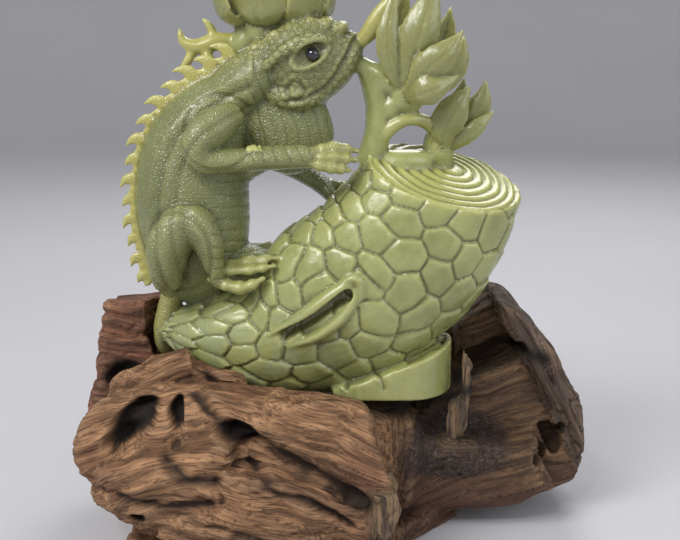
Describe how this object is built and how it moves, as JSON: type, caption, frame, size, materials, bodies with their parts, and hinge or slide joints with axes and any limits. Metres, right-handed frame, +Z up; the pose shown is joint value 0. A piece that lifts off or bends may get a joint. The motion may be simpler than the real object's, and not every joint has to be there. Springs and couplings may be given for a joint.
{
  "type": "lizard statue",
  "caption": "Carved green stone lizard climbing a cut trunk with open blossoms, standing in a hollow of a gnarled root-wood stand.",
  "frame": {"origin": "centre of the stand's flat underside", "axes": "+Z up, +X to the viewer's right, +Y away from the viewer, who faces the lizard's near side"},
  "size_m": [0.282, 0.1768, 0.31],
  "materials": {
    "jade": "polished",
    "eyes": "high gloss",
    "wood": "bare"
  },
  "bodies": {
    "root": {"jade_carving": "jade", "near_eye_bead": "eyes", "far_eye_bead": "eyes", "root_wood_stand": "wood"}
  },
  "joints": []
}
